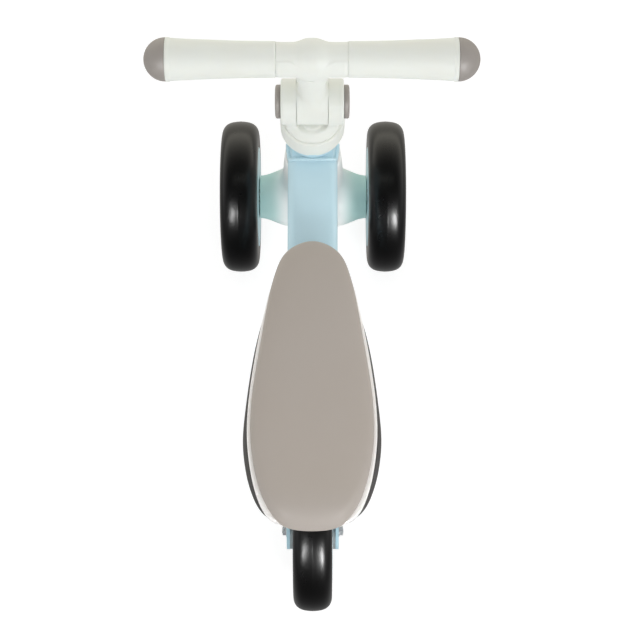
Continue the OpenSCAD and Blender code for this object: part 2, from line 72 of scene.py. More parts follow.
# ---------------------------------------------------------------- materials
class Mat:
    """A node material with a few helpers. Coordinates are the object's own, in metres."""

    def __init__(self, name, col, rough, **shader):
        self.m = bpy.data.materials.new(name)
        self.m.use_nodes = True
        self.t = self.m.node_tree
        self.p = self.t.nodes["Principled BSDF"]
        self.co = self.new("ShaderNodeTexCoord").outputs["Object"]
        self.col, self.rough = col, rough
        self.p.inputs["Base Color"].default_value = col
        self.p.inputs["Roughness"].default_value = rough
        for k, v in shader.items():
            self.p.inputs[k.replace("_", " ")].default_value = v
        self.normal = None

    def new(self, kind, **props):
        n = self.t.nodes.new(kind)
        for k, v in props.items():
            setattr(n, k, v)
        return n

    def link(self, a, b):
        self.t.links.new(a, b)

    def noise(self, scale, detail=3.0, rough=0.5, stretch=None):
        n = self.new("ShaderNodeTexNoise")
        n.inputs["Scale"].default_value = scale
        n.inputs["Detail"].default_value = detail
        n.inputs["Roughness"].default_value = rough
        src = self.co
        if stretch:
            mp = self.new("ShaderNodeMapping")
            mp.inputs["Scale"].default_value = stretch
            self.link(src, mp.inputs["Vector"])
            src = mp.outputs["Vector"]
        self.link(src, n.inputs["Vector"])
        return n.outputs["Fac"]

    def voronoi(self, scale, feature="F1", smooth=0.4):
        n = self.new("ShaderNodeTexVoronoi", feature=feature)
        n.inputs["Scale"].default_value = scale
        if feature == "SMOOTH_F1":
            n.inputs["Smoothness"].default_value = smooth
        self.link(self.co, n.inputs["Vector"])
        return n.outputs["Distance"]

    def ramp(self, fac, stops):
        n = self.new("ShaderNodeValToRGB")
        e = n.color_ramp.elements
        e[0].position, e[0].color = stops[0]
        e[1].position, e[1].color = stops[-1]
        for pos, col in stops[1:-1]:
            x = e.new(pos)
            x.color = col
        self.link(fac, n.inputs["Fac"])
        return n.outputs["Color"]

    def range(self, fac, a, b, lo=0.3, hi=0.7):
        n = self.new("ShaderNodeMapRange")
        n.inputs["From Min"].default_value = lo
        n.inputs["From Max"].default_value = hi
        n.inputs["To Min"].default_value = a
        n.inputs["To Max"].default_value = b
        self.link(fac, n.inputs["Value"])
        return n.outputs["Result"]

    def mix(self, fac, a, b):
        n = self.new("ShaderNodeMix", data_type="RGBA", blend_type="MIX")
        if isinstance(fac, float):
            n.inputs[0].default_value = fac
        else:
            self.link(fac, n.inputs[0])
        for s, v in ((6, a), (7, b)):
            if isinstance(v, tuple):
                n.inputs[s].default_value = v
            else:
                self.link(v, n.inputs[s])
        return n.outputs[2]

    def tint(self, scale, spread, warm=0.0, detail=3.0):
        """Gentle colour variation over the surface."""
        c = self.ramp(
            self.noise(scale, detail),
            [(0.28, shade(self.col, 1 - spread, warm)), (0.5, self.col), (0.72, shade(self.col, 1 + spread, -warm))],
        )
        self.colour = c
        self.link(c, self.p.inputs["Base Color"])
        return self

    def specks(self, scale, size, col, amount=0.5):
        """Sparse fine specks of another shade."""
        f = self.range(self.voronoi(scale), amount, 0.0, size * 0.5, size)
        self.colour = self.mix(f, self.colour, col)
        self.link(self.colour, self.p.inputs["Base Color"])
        return self

    def gloss(self, scale, a, b, detail=4.0):
        self.link(self.range(self.noise(scale, detail), a, b), self.p.inputs["Roughness"])
        return self

    def soft_edges(self, radius=0.0005):
        """Rounds the shading of machined or moulded edges."""
        n = self.new("ShaderNodeBevel", samples=4)
        n.inputs["Radius"].default_value = radius
        self.normal = n.outputs["Normal"]
        self.link(self.normal, self.p.inputs["Normal"])
        return self

    def bump(self, height, strength, depth):
        n = self.new("ShaderNodeBump")
        n.inputs["Strength"].default_value = strength
        n.inputs["Distance"].default_value = depth
        self.link(height, n.inputs["Height"])
        if self.normal is not None:
            self.link(self.normal, n.inputs["Normal"])
        self.normal = n.outputs["Normal"]
        self.link(self.normal, self.p.inputs["Normal"])
        return self


def powder_coat(name, col, edges=0.0):
    m = Mat(name, col, 0.33, Specular_IOR_Level=0.5, Coat_Weight=0.25, Coat_Roughness=0.22)
    m.tint(14, 0.018, 0.004).gloss(60, 0.28, 0.38)
    if edges:
        m.soft_edges(edges)
    m.bump(m.noise(520, 2.0), 0.22, 0.0002)  # orange peel
    m.bump(m.noise(3200, 2.0), 0.10, 0.00005)
    return m.m


def moulded(name, col, rough=0.42, spread=0.015, warm=0.004, coat=0.0, edges=0.0, grain=2600, grain_k=0.16, sss=0.0):
    m = Mat(name, col, rough, Specular_IOR_Level=0.5, Coat_Weight=coat, Coat_Roughness=0.3)
    if sss:
        m.p.inputs["Subsurface Weight"].default_value = sss
        m.p.inputs["Subsurface Radius"].default_value = (0.0016, 0.0013, 0.0010)
        m.p.inputs["Subsurface Scale"].default_value = 1.0
    m.tint(18, spread, warm).gloss(45, rough - 0.05, rough + 0.06)
    if edges:
        m.soft_edges(edges)
    m.bump(m.noise(grain, 3.0), grain_k, 0.00006)  # spark-eroded mould grain
    m.bump(m.noise(70, 1.0), 0.12, 0.00025)  # slight sink of the moulding
    return m.m


def tyre_material(name):
    m = Mat(name, (0.0030, 0.0029, 0.0030, 1), 0.31, Specular_IOR_Level=0.38)
    m.tint(30, 0.16, 0.02)
    m.specks(2600, 0.16, (0.010, 0.0095, 0.010, 1), 0.45)
    m.gloss(38, 0.27, 0.30)
    m.bump(m.voronoi(2200, "SMOOTH_F1"), 0.10, 0.00010)  # skin of the foam cells
    m.bump(m.noise(240, 3.0), 0.03, 0.00010)
    return m.m


def cover_material(name, col, painted_reflection):
    """Aqua arms that turn paler towards the column and up it; the paleness is a painted reflection of the white
    surroundings on the column's steep walls.
    """
    m = Mat(name, col, 0.44, Specular_IOR_Level=0.5)
    m.tint(18, 0.02, 0.004)
    sep = m.new("ShaderNodeSeparateXYZ")
    m.link(m.co, sep.inputs[0])
    # painted reflection: the colour turns paler up the column, from 92 to 128 mm high
    up = m.new("ShaderNodeMapRange", interpolation_type="SMOOTHSTEP")
    for k, v in (("From Min", 0.092), ("From Max", 0.128), ("To Min", 0.0), ("To Max", 1.0)):
        up.inputs[k].default_value = v
    m.link(sep.outputs["Z"], up.inputs["Value"])
    m.colour = m.mix(up.outputs["Result"], m.colour, painted_reflection)
    width = m.new("ShaderNodeMath", operation="ABSOLUTE")
    m.link(sep.outputs["Y"], width.inputs[0])
    # painted reflection: the colour turns paler near the column, within 25 to 43 mm of the middle
    near = m.new("ShaderNodeMapRange", interpolation_type="SMOOTHSTEP")
    for k, v in (("From Min", 0.025), ("From Max", 0.043), ("To Min", 0.92), ("To Max", 0.0)):
        near.inputs[k].default_value = v
    m.link(width.outputs[0], near.inputs["Value"])
    m.colour = m.mix(near.outputs["Result"], m.colour, painted_reflection)
    m.link(m.colour, m.p.inputs["Base Color"])
    m.gloss(45, 0.39, 0.50)
    m.bump(m.noise(2600, 3.0), 0.16, 0.00006)
    m.bump(m.noise(70, 1.0), 0.12, 0.00025)
    return m.m


def saddle_material(name):
    m = Mat(name, lin(173, 165, 158), 0.5, Specular_IOR_Level=0.42, Sheen_Weight=0.05, Sheen_Roughness=0.5)
    m.tint(9, 0.02, 0.008, 4.0)
    m.gloss(30, 0.44, 0.56)
    m.bump(m.voronoi(1500, "SMOOTH_F1", 0.6), 0.20, 0.00016)  # fine skin grain
    m.bump(m.noise(700, 4.0), 0.14, 0.00012)
    m.bump(m.noise(22, 1.0), 0.10, 0.0008)  # foam underneath is never quite even
    return m.m


def rubber(name, col):
    m = Mat(name, col, 0.56, Specular_IOR_Level=0.4, Sheen_Weight=0.08, Sheen_Roughness=0.4)
    m.p.inputs["Subsurface Weight"].default_value = 0.12
    m.p.inputs["Subsurface Radius"].default_value = (0.0018, 0.0016, 0.0012)
    m.p.inputs["Subsurface Scale"].default_value = 1.0
    m.tint(24, 0.014, 0.006).gloss(50, 0.50, 0.62)
    m.bump(m.voronoi(1900, "SMOOTH_F1", 0.5), 0.22, 0.00012)
    m.bump(m.noise(90, 2.0), 0.10, 0.0003)
    return m.m


def metal(name, col, rough, stretch=(1, 1, 1), edges=0.0003, metallic=1.0):
    m = Mat(name, col, rough, Metallic=metallic)
    m.tint(60, 0.05, 0.01)
    m.gloss(120, rough - 0.07, rough + 0.1)
    m.soft_edges(edges)
    m.bump(m.noise(900, 3.0, stretch=stretch), 0.12, 0.00005)
    return m.m


BLUE = lin(192, 222, 233)
HUB_BLUE = lin(190, 221, 229)
AQUA = lin(199, 228, 223)
MINT = lin(230, 233, 227)
GRIP = lin(228, 231, 225)
TAUPE = lin(153, 147, 142)
WHITE = lin(250, 248, 246)
CHAR = lin(74, 72, 71)

M = {
    "frame_paint": powder_coat("frame_paint", BLUE, 0.0006),
    "hub_plastic": moulded("hub_plastic", HUB_BLUE, 0.34, coat=0.15, edges=0.0005),
    # the pale column on this aqua part is a painted reflection, made in cover_material
    "aqua_plastic": cover_material("aqua_plastic", AQUA, lin(252, 254, 253)),
    "mint_plastic": moulded("mint_plastic", MINT, 0.52, sss=0.08, edges=0.0004),
    "grip_rubber": rubber("grip_rubber", GRIP),
    "taupe_plastic": moulded("taupe_plastic", TAUPE, 0.48, warm=0.012, grain=1900, grain_k=0.24),
    "saddle_skin": saddle_material("saddle_skin"),
    "white_plastic": moulded("white_plastic", WHITE, 0.34, coat=0.2),
    "charcoal_plastic": moulded("charcoal_plastic", CHAR, 0.5, spread=0.07, grain=1300, grain_k=0.4),
    "tyre_foam": tyre_material("tyre_foam"),
    "dark_nylon": moulded("dark_nylon", (0.03, 0.03, 0.031, 1), 0.5, spread=0.1, edges=0.0004),
    "grey_nylon": moulded("grey_nylon", lin(158, 163, 165), 0.46, spread=0.03, edges=0.0004),
    "dark_metal": metal("dark_metal", lin(150, 152, 155), 0.34, (1, 1, 6)),
    "fork_steel": metal("fork_steel", lin(178, 180, 183), 0.3, (1, 1, 8)),
    "zinc": metal("zinc", lin(222, 224, 226), 0.26, metallic=0.55),
}
for key, level in (("mint_plastic", 0.22), ("grip_rubber", 0.24), ("saddle_skin", 0.16), ("aqua_plastic", 0.3)):
    M[key].node_tree.nodes["Principled BSDF"].inputs["Specular IOR Level"].default_value = level
SLOT_OF = {s["node"]: s["material_slot"] for s in frame["record"]["subparts"]}


def smooth_by_angle(me, degrees=32.0):
    """Smooth shading that keeps edges sharper than the angle."""
    bm = bmesh.new()
    bm.from_mesh(me)
    limit = math.radians(degrees)
    for f in bm.faces:
        f.smooth = True
    for e in bm.edges:
        if len(e.link_faces) == 2:
            e.smooth = e.calc_face_angle(0.0) < limit
    bm.to_mesh(me)
    bm.free()


for name, ob in nodes.items():
    ob.data.materials.clear()
    ob.data.materials.append(M[SLOT_OF[name]])


# ------------------------------------------------------------ mesh building
def put(name, me, body, slot, replaces=(), mat=None):
    ob = bpy.data.objects.new(name, me)
    bpy.context.scene.collection.objects.link(ob)
    me.materials.append(mat or M[slot])
    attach(ob, body)
    if replaces:
        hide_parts(*replaces)
    return ob


def mesh_of(name, verts, faces, smooth=True, tidy=True):
    """A mesh from points in millimetres, with outward faces."""
    me = bpy.data.meshes.new(name)
    me.from_pydata((np.asarray(verts, float) * 0.001).tolist(), [], [tuple(f) for f in faces])
    if tidy:
        bm = bmesh.new()
        bm.from_mesh(me)
        bmesh.ops.remove_doubles(bm, verts=bm.verts, dist=2e-7)
        bmesh.ops.dissolve_degenerate(bm, dist=1e-7, edges=bm.edges)
        bmesh.ops.recalc_face_normals(bm, faces=bm.faces)
        bm.to_mesh(me)
        bm.free()
    me.polygons.foreach_set("use_smooth", [smooth] * len(me.polygons))
    me.update()
    return me


def quad_mesh(name, verts, quads):
    """A large all-quad mesh, quickly."""
    me = bpy.data.meshes.new(name)
    me.vertices.add(len(verts))
    me.vertices.foreach_set("co", (verts * 0.001).astype(np.float32).ravel())
    me.loops.add(len(quads) * 4)
    me.loops.foreach_set("vertex_index", quads.astype(np.int32).ravel())
    me.polygons.add(len(quads))
    me.polygons.foreach_set("loop_start", np.arange(0, len(quads) * 4, 4, dtype=np.int32))
    me.update(calc_edges=True)
    me.validate()
    me.polygons.foreach_set("use_smooth", [True] * len(me.polygons))
    me.update()
    return me


def fillet(pts, rad, n=5, closed=True):
    """The polyline with each corner turned by an arc."""
    pts = [np.array(p, float) for p in pts]
    k, out = len(pts), []
    for i, p in enumerate(pts):
        r = rad[i] if isinstance(rad, (list, tuple)) else rad
        if r <= 0 or (not closed and i in (0, k - 1)):
            out.append(tuple(p))
            continue
        va, vb = pts[i - 1] - p, pts[(i + 1) % k] - p
        la, lb = np.linalg.norm(va), np.linalg.norm(vb)
        va, vb = va / la, vb / lb
        ang = math.acos(max(-1, min(1, float(va @ vb))))
        if ang > 3.05 or ang < 0.05:
            out.append(tuple(p))
            continue
        t = min(r / math.tan(ang / 2), la * 0.48, lb * 0.48)
        rr = t * math.tan(ang / 2)
        mid = va + vb
        c = p + mid / np.linalg.norm(mid) * rr / math.sin(ang / 2)
        a1 = math.atan2(*(p + va * t - c)[::-1])
        a2 = math.atan2(*(p + vb * t - c)[::-1])
        d = (a2 - a1 + math.pi) % (2 * math.pi) - math.pi
        for j in range(n + 1):
            a = a1 + d * j / n
            out.append((c[0] + rr * math.cos(a), c[1] + rr * math.sin(a)))
    return out


def turned_y(name, prof, x, y, z, seg=160, side=1, closed=True):
    """A profile of (radius, distance along Y) turned about the Y axis at x, y, z."""
    prof = np.array(prof, float)
    a = np.linspace(0, 2 * math.pi, seg, endpoint=False)
    v = np.empty((seg, len(prof), 3))
    v[:, :, 0] = x + np.cos(a)[:, None] * prof[:, 0]
    v[:, :, 1] = y + side * prof[:, 1]
    v[:, :, 2] = z + np.sin(a)[:, None] * prof[:, 0]
    return mesh_of(name, v.reshape(-1, 3), grid_faces(seg, len(prof), closed))


def grid_faces(m, n, closed_n):
    faces = []
    for i in range(m):
        i2 = (i + 1) % m
        for j in range(n if closed_n else n - 1):
            j2 = (j + 1) % n
            faces.append((i * n + j, i * n + j2, i2 * n + j2, i2 * n + j))
    return faces


def spline(ctrl, k):
    """Catmull-Rom through open control points, k points per span."""
    p = np.array([ctrl[0], *ctrl, ctrl[-1]], float)
    out = []
    for i in range(1, len(p) - 2):
        for j in range(k):
            t = j / k
            a, b, c, d = p[i - 1], p[i], p[i + 1], p[i + 2]
            out.append(
                0.5 * (2 * b + (c - a) * t + (2 * a - 5 * b + 4 * c - d) * t * t + (3 * b - a - 3 * c + d) * t**3)
            )
    out.append(p[-2])
    return np.array(out)


# ------------------------------------------- solids from distance functions
def ln(*a):
    s = a[0] * a[0]
    for q in a[1:]:
        s = s + q * q
    return np.sqrt(s)


def smin(a, b, k):
    h = np.clip(0.5 + 0.5 * (b - a) / k, 0, 1)
    return b + (a - b) * h - k * h * (1 - h)


def smax(a, b, k):
    return -smin(-a, -b, k)


def rod(q, t, r, t0, t1, e):
    """A cylinder with rounded rims: q is the distance from its axis, t the place along it."""
    w = np.abs(t - (t0 + t1) / 2) - ((t1 - t0) / 2 - e)
    q = q - (r - e)
    return np.minimum(np.maximum(q, w), 0) + ln(np.maximum(q, 0), np.maximum(w, 0)) - e


def block(x, y, z, c, h, e):
    q = [np.abs(p - c[i]) - (h[i] - e) for i, p in enumerate((x, y, z))]
    inner = np.minimum(np.maximum(np.maximum(q[0], q[1]), q[2]), 0)
    return inner + ln(*[np.maximum(p, 0) for p in q]) - e


def step(t):
    t = np.clip(t, 0, 1)
    return t * t * (3 - 2 * t)


def solid(name, f, lo, hi, h):
    """A quad mesh of the surface f = 0 on a grid of pitch h, settled onto the surface."""
    h = h * COARSE
    lo, hi = np.array(lo, float) - 2 * h, np.array(hi, float) + 2 * h
    n = np.ceil((hi - lo) / h).astype(int) + 1
    ax = [(lo[i] + h * np.arange(n[i])).astype(np.float32) for i in range(3)]
    d = np.empty(tuple(n), np.float32)
    for i0 in range(0, n[0], 24):  # in slabs, to keep memory small
        gx, gy, gz = np.meshgrid(ax[0][i0 : i0 + 24], ax[1], ax[2], indexing="ij")
        d[i0 : i0 + 24] = f(gx, gy, gz)
    d[d == 0] = 1e-6
    s = d < 0
    corners = [(a, b, c) for a in (0, 1) for b in (0, 1) for c in (0, 1)]
    part = lambda arr, o: arr[o[0] : n[0] - 1 + o[0], o[1] : n[1] - 1 + o[1], o[2] : n[2] - 1 + o[2]]
    total = sum(part(s, o).astype(np.int8) for o in corners)
    cells = np.argwhere((total > 0) & (total < 8))
    where = np.full(tuple(n - 1), -1, np.int64)
    where[tuple(cells.T)] = np.arange(len(cells))
    vals = {o: d[tuple((cells + o).T)] for o in corners}
    acc, cnt = np.zeros((len(cells), 3)), np.zeros(len(cells))
    for a in corners:
        for k in range(3):
            if a[k]:
                continue
            b = list(a)
            b[k] = 1
            b = tuple(b)
            va, vb = vals[a], vals[b]
            cross = (va < 0) != (vb < 0)
            t = np.where(cross, va / np.where(cross, va - vb, 1), 0)
            p = np.tile(np.array(a, float), (len(cells), 1))
            p[:, k] += t
            acc += p * cross[:, None]
            cnt += cross
    v = lo + h * (cells + acc / cnt[:, None])
    quads = []
    for k in range(3):
        i, j = (k + 1) % 3, (k + 2) % 3
        low = [slice(0, None)] * 3
        high = [slice(0, None)] * 3
        low[k], high[k] = slice(0, n[k] - 1), slice(1, n[k])
        a, b = s[tuple(low)], s[tuple(high)]
        for e, flip in (((a & ~b), False), ((~a & b), True)):
            at = np.argwhere(e)
            at = at[(at[:, i] > 0) & (at[:, j] > 0) & (at[:, i] < n[i] - 1) & (at[:, j] < n[j] - 1)]
            ring = []
            for di, dj in ((-1, -1), (0, -1), (0, 0), (-1, 0)):
                c = at.copy()
                c[:, i] += di
                c[:, j] += dj
                ring.append(where[tuple(c.T)])
            q = np.stack(ring, 1)
            quads.append(q[:, ::-1] if flip else q)
    quads = np.concatenate(quads)
    quads = quads[(quads >= 0).all(1)]
    g = lambda p: f(p[:, 0], p[:, 1], p[:, 2])
    eps, start = 0.06, v.copy()
    for _ in range(4):
        val = g(v)
        grad = np.stack([(g(v + eps * o) - g(v - eps * o)) / (2 * eps) for o in np.eye(3)], 1)
        move = grad * (val / np.maximum((grad**2).sum(1), 0.25))[:, None]
        v = v - np.clip(move, -0.3 * h, 0.3 * h)
        v = start + np.clip(v - start, -0.9 * h, 0.9 * h)
    return quad_mesh(name, v, quads)


# ------------------------------------------------------------------- camera
cam_data = bpy.data.cameras.new("camera")
cam = bpy.data.objects.new("camera", cam_data)
bpy.context.scene.collection.objects.link(cam)
look, up = Vector((0.3090, 0, -0.9511)), Vector((0.9511, 0, 0.3090))
right = look.cross(up)
cam.matrix_world = Matrix(
    (
        (right.x, up.x, -look.x, -0.48863),
        (right.y, up.y, -look.y, -0.00681),
        (right.z, up.z, -look.z, 1.700),
        (0, 0, 0, 1),
    )
)
cam_data.sensor_width, cam_data.lens = 36.0, 98.25
cam_data.clip_start, cam_data.clip_end = 0.05, 30
bpy.context.scene.camera = cam

# ------------------------------------------------------------------- tyres
TYRE_W, HUB_R = 36.0, 50.0
SR, CR = 11.0, 38.0
ys = TYRE_W / 2 - SR
xs = WHEEL_R - CR + math.sqrt((CR - SR) ** 2 - ys * ys)
ta = math.asin(ys / (CR - SR))


def tyre_profile():
    """Round-shouldered section with a fine parting line left by the mould."""
    half = []
    for i in range(15):  # crown, from the middle outwards
        a = ta * i / 14
        half.append((WHEEL_R - CR + CR * math.cos(a), CR * math.sin(a)))
    for i in range(1, 19):  # shoulder and side
        a = ta + (math.pi / 2 - ta) * i / 18
        half.append((xs + SR * math.cos(a), ys + SR * math.sin(a)))
    h = np.array(half)  # faired, so that the curvature changes gradually
    for _ in range(14):
        h[1:-1] = (h[:-2] + 2 * h[1:-1] + h[2:]) / 4
        h[0, 0] = h[1, 0] + 0.02
    h[:, 0] += WHEEL_R - h[0, 0]
    half = [tuple(p) for p in h]
    lip = fillet([(60.0, 18.0), (51.2, 18.0), (50.2, 17.4), (HUB_R + 0.02, 16.6), (HUB_R + 0.02, 0)],
                 [0, 0.6, 0.3, 0.3, 0], 5, False)
    half += lip
    seam = [(WHEEL_R, 0.0), (WHEEL_R - 0.01, 0.20), (WHEEL_R - 0.045, 0.34), (WHEEL_R - 0.05, 0.7)]
    rest = [(r - 0.05 * max(0.0, 1 - (y / 10.0) ** 2), y) for r, y in half[1:15] if y > 1.0]
    side = seam + rest + half[15:]
    return side + [(r, -y) for r, y in side[::-1] if y > 1e-6]


for wheel, x, y in (("front_left", AXLE_X, WHEEL_Y), ("front_right", AXLE_X, -WHEEL_Y), ("rear", -AXLE_X, 0.0)):
    me = turned_y(wheel + "_tyre_skin", tyre_profile(), x, y, WHEEL_R, 224)
    put(wheel + "_tyre_skin", me, wheel + "_wheel", "tyre_foam", [wheel + "_tyre"])

# -------------------------------------------------------------- grips, caps
END = 123.5
grip_mid = spline([(15.42, 33.5), (15.45, 40), (15.5, 47), (15.6, 54), (15.72, 61), (15.9, 68), (16.18, 76),
                   (16.5, 84), (16.8, 92), (17.1, 101), (17.45, 108), (17.8, 114), (18.1, 118.6)], 3)
grip_prof = (
    fillet([(11.15, 40), (11.15, 30.56), (14.95, 30.56), (15.42, 31.5), (15.42, 33.5)], [0, 0.2, 0.15, 0.8, 0], 5, False)[:-1]
    + [tuple(p) for p in grip_mid]
    + fillet([(18.1, 118.6), (18.25, 119.5), (18.78, 120.6), (18.8, 122.9), (18.3, END - 0.15), (11.15, END - 0.15)],
             [0, 0.6, 0.7, 0.5, 0.3, 0], 5, False)[1:]
)
cap_prof = [(0.0, END + 18.5)]
for i in range(1, 29):
    a = math.pi / 2 * (1 - i / 28)
    cap_prof.append((18.5 * math.cos(a) * (1.0 if i < 27 else 0.998), END + 18.5 * math.sin(a)))
cap_prof += [(18.3, END - 0.05), (18.0, END - 0.1), (9.5, END - 0.1), (9.5, END - 12), (0.0, END - 12)]
for name, side in (("left", 1), ("right", -1)):
    me = turned_y("grip_sleeve_" + name, grip_prof, STEER_X, 0, BAR_Z, 144, side)
    put("grip_sleeve_" + name, me, "handlebar", "grip_rubber", ["grip_" + name])
    me = turned_y("grip_end_" + name, cap_prof, STEER_X, 0, BAR_Z, 128, side, False)
    put("grip_end_" + name, me, "handlebar", "taupe_plastic", ["grip_cap_" + name])

# ------------------------------------------------------------ hinge buttons
button_prof = fillet(
    [(0, 28.6), (4.3, 28.6), (4.3, 23.5), (9.04, 23.5), (9.04, 28.1), (15.0, 28.1), (15.0, 32.3), (12.6, 32.9), (8, 33.1), (0, 33.2)],
    [0, 0, 0.2, 0.3, 0.3, 0.6, 1.5, 3, 4, 0], 6, False)
for name, side in (("left", 1), ("right", -1)):
    me = turned_y("release_button_" + name, button_prof, STEER_X, 0, HINGE_Z, 128, side, False)
    put("release_button_" + name, me, "button_" + name, "taupe_plastic", ["hinge_button_" + name])


# --------------------------------------------------------------- axle cover
def arm_radius(t):
    return 21.3 + 8.2 * 0.5 * (1 + np.cos(math.pi * np.clip((t - 22) / 31, 0, 1)))


def cover_body(x, y, z):
    t = np.abs(y)
    arm_r = arm_radius(t)
    q = ln(x - AXLE_X, z - WHEEL_R)
    arm = smax((q - arm_r) * 0.96, t - 53.0, 1.2)
    c = ln(x - STEER_X, y)
    taper = 2.9 * np.clip((z - 108) / 59, 0, 1) ** 1.5  # the column narrows towards the head tube
    body = smin(arm, rod(c + taper, z, 29.5, 70, 167, 1.4), 10.0)
    hollow = smin(smax((q - arm_r + 2.5) * 0.96, t - 50.5, 1), rod(c + taper, z, 26.8, 70, 164.5, 1.5), 6.0)
    body = smax(body, -hollow, 0.4)
    body = smax(body, -rod(c, z, 21.5, 120, 190, 0.2), 1.2)
    return smax(body, -(q - 11.06), 0.8)


def cover_upper(x, y, z):
    return smax(cover_body(x, y, z), 62.12 - z, 0.7)


def cover_lower(x, y, z):
    d = smax(cover_body(x, y, z), z - 61.88, 0.7)
    for sx in (-16, 16):
        for sy in (-40, 40):
            q = ln(x - AXLE_X - sx, y - sy)
            boss = smax(smax(q - 4.4, z - 61.9, 0.3), 44.5 - z, 0.3)
            boss = np.maximum(boss, ln(x - AXLE_X, z - WHEEL_R) - arm_radius(np.abs(y)) + 0.3)
            d = smin(d, boss, 0.5)
            d = smax(d, -rod(q, z, 3.1, 30, 58.5, 0.2), 0.5)
    return d


put("axle_cover_top_shell", solid("axle_cover_top_shell", cover_upper, (140, -54.5, 61), (206, 54.5, 168), 0.95),
    "steering", "aqua_plastic", ["axle_cover_upper"])
put("axle_cover_bottom_shell", solid("axle_cover_bottom_shell", cover_lower, (138, -54.5, 44), (206, 54.5, 63), 0.85),
    "steering", "aqua_plastic", ["axle_cover_lower"])


# ------------------------------------------------------------ headset collar
def collar(x, y, z):
    q = ln(x - STEER_X, y)
    taper = np.where(z > 244, (z - 244) * 0.045, 0.0)
    d = smax(rod(q + taper, z, 29.3, 222, 253.0, 2.2), 231.6 - z, 0.8)
    d = smax(d, -rod(q, z, 20.05, 200, 300, 0.1), 0.6)
    d = smax(d, -rod(q, z, 24.5, 200, 235.2, 0.2), 0.4)
    return smax(d, -block(x, y, z, (STEER_X - 28.0, 0, 230.6), (4.5, 3.4, 2.5), 0.4), 0.3)


put("headset_collar_shell", solid("headset_collar_shell", collar, (145, -30, 231), (205, 30, 253.6), 0.62),
    "steering", "mint_plastic", ["headset_collar"])


# --------------------------------------------------------------- stem hinge
def stem_base(x, y, z):
    q = ln(x - STEER_X, y)
    rim = 26.5 - 3.4 * step((z - 255.5) / 10.5)
    d = smax(smax(q - rim, 253.1 - z, 0.7), z - 265.2, 2.2)
    d = smin(d, rod(q, z, 20.0, 236.5, 258, 0.3), 0.3)
    hq, t = ln(x - STEER_X, z - HINGE_Z), np.abs(y)
    ear = smax(rod(hq, t, 20.5, 4.0, 28.0, 2.4), 14.05 - t, 0.35)
    foot = smax(block(x, t, z, (STEER_X, 16.9, 271.5), (16.2, 6.8, 13.5), 2.4), 14.05 - t, 0.35)
    ears = smin(ear, foot, 3.0)
    d = smin(d, ears, 5.0)
    d = smin(d, rod(ln(x - STEER_X + 10, y), z, 9.0, 255, 267.4, 1.6), 1.5)
    d = smax(d, -np.maximum(hq - 20.9, t - 14.05), 0.35)
    d = smax(d, -rod(hq, t, 9.1, 20.2, 40, 0.2), 0.8)
    d = smax(d, -rod(hq, t, 15.4, 24.9, 40, 0.2), 0.5)
    d = smax(d, -rod(q, z, 5.3, 257.4, 300, 0.2), 0.8)
    return smax(d, -rod(q, z, 14.55, 200, 252, 0.2), 0.3)


put("stem_base_shell", solid("stem_base_shell", stem_base, (147, -29, 236), (203, 29, 306.5), 0.6),
    "steering", "mint_plastic", ["stem_base"])


def stem_tongue(x, y, z):
    hub = rod(ln(x - STEER_X, z - HINGE_Z), y, 20.35, -13.85, 13.85, 0.45)
    post = rod(ln(x - STEER_X, y), z, 12.2, 286, 348, 0.5)
    d = smin(hub, post, 6.0)
    return smax(d, -(ln(x - STEER_X, z - HINGE_Z) - 4.06), 0.5)


put("stem_tongue_shell", solid("stem_tongue_shell", stem_tongue, (154, -15, 264), (196, 15, 349), 0.6),
    "handlebar", "mint_plastic", ["stem_tongue"])


# ------------------------------------------------------------ handlebar tee
def tee(x, y, z):
    t = np.abs(y)
    dx, dz = x - STEER_X, z - BAR_Z
    q = ln(dx, dz)
    phi = np.degrees(np.arctan2(-dx, dz))  # 0 on top, 90 at the back
    base = 14.6 + 3.45 * np.exp(-((t / 10.5) ** 3.2)) + 0.12 * np.exp(-(((t - 29.5) / 2.0) ** 2))
    # the swelling sits on the front and top, and fades towards the back
    base = 14.6 + (base - 14.6) * (1 - 0.55 * step((phi - 20) / 70) * (phi < 180))
    inner = np.clip(17.0 - (phi - 36.0) * 0.36, 2.5, 30.0)
    edge = np.minimum(step((phi - 29.0) / 8.0), 1 - step((phi - 112.0) / 26.0))
    side = step((t - inner + 1.8) / 3.6)
    outer = 1 - step((t - 27.6) / 2.6)
    lobe = 0.65 * edge * side * outer
    barrel = smax((q - base - lobe) * 0.95, t - 30.5, 0.25)
    sock_q = ln(dx, y)
    sock = rod(sock_q, z, 14.3, 338.0, 369, 1.0)
    d = smin(barrel, sock, 6.5)
    d = smax(d, -(q - 11.13), 0.4)
    d = smax(d, -rod(sock_q, z, 12.24, 320, 349, 0.2), 0.5)
    # clamp slot at the back of the socket, and the mould's gate mark
    d = smax(d, -block(x, y, z, (STEER_X - 15.5, 1.8, 356.8), (5.0, 3.0, 1.1), 0.8), 0.3)
    gate = ln(dx + 1.7, y - 11.4, dz - 19.0)
    return smax(d, 3.3 - gate, 0.8)


put("handlebar_tee_shell", solid("handlebar_tee_shell", tee, (155, -31, 337.5), (195.5, 31, 388.5), 0.6),
    "handlebar", "mint_plastic", ["handlebar_tee"])

